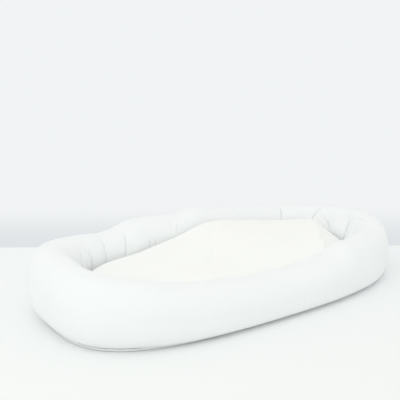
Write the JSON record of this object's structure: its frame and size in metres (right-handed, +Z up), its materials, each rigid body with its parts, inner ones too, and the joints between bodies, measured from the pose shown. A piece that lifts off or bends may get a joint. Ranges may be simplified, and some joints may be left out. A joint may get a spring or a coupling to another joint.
{
  "type": "infant lounger",
  "caption": "Soft oval infant lounger: a stuffed fabric ring gathered along its inner wall, round a quilted base, with a thick lift-out pad and zipped covers.",
  "frame": {"origin": "on the floor, under the middle of the ring", "axes": "+X along the length towards the head end, +Y to the side that is far in the picture, +Z up"},
  "size_m": [0.8978, 0.479, 0.1523],
  "materials": {
    "ring_fabric": "matte",
    "pad_fabric": "matte",
    "base_fabric": "matte",
    "binding": "matte",
    "fibre_filling": "matte",
    "foam": "matte",
    "label_cloth": "satin",
    "zip_tape": "matte",
    "zip_coil": "satin",
    "zip_metal": "satin"
  },
  "bodies": {
    "lounger": {"bumper_cover": "ring_fabric", "bumper_fill": "fibre_filling", "outer_seam_binding": "binding", "inner_seam_binding": "binding", "care_label": "label_cloth", "base_panel": "base_fabric", "base_wadding": "fibre_filling", "floor_panel": "base_fabric", "base_zip_tape_a": "zip_tape", "base_zip_tape_b": "zip_tape", "base_zip_coil_a": "zip_coil", "base_zip_coil_b": "zip_coil", "base_zip_bottom_stop": "zip_metal", "base_zip_top_stop": "zip_metal"},
    "pad": {"pad_cover_top": "pad_fabric", "pad_cover_bottom": "pad_fabric", "pad_piping": "pad_fabric", "pad_slab": "foam", "pad_topper": "fibre_filling", "pad_zip_tape_a": "zip_tape", "pad_zip_tape_b": "zip_tape", "pad_zip_coil_a": "zip_coil", "pad_zip_coil_b": "zip_coil", "pad_zip_bottom_stop": "zip_metal", "pad_zip_top_stop": "zip_metal"},
    "base_zip_slider": {"base_zip_slider": "zip_metal"},
    "base_zip_pull": {"base_zip_pull": "zip_metal"},
    "pad_zip_slider": {"pad_zip_slider": "zip_metal"},
    "pad_zip_pull": {"pad_zip_pull": "zip_metal"}
  },
  "joints": [
    {"name": "pad_lift", "type": "slide", "parent": "lounger", "child": "pad", "axis": [0, 0, 1], "range_m": [0, 0.2]},
    {"name": "base_zip_slide", "type": "slide", "parent": "lounger", "child": "base_zip_slider", "axis": [-1, 0, 0], "range_m": [0, 0.288]},
    {"name": "base_zip_pull_swing", "type": "hinge", "parent": "base_zip_slider", "child": "base_zip_pull", "pos_m": [0.1245, 0, 0.0031], "axis": [0, -1, 0], "range_deg": [0, 180]},
    {"name": "pad_zip_slide", "type": "slide", "parent": "pad", "child": "pad_zip_slider", "axis": [0, -1, 0], "range_m": [0, 0.098]},
    {"name": "pad_zip_pull_swing", "type": "hinge", "parent": "pad_zip_slider", "child": "pad_zip_pull", "pos_m": [0.337, 0.0495, 0.028], "axis": [0, 0, 1], "range_deg": [0, 180]}
  ]
}
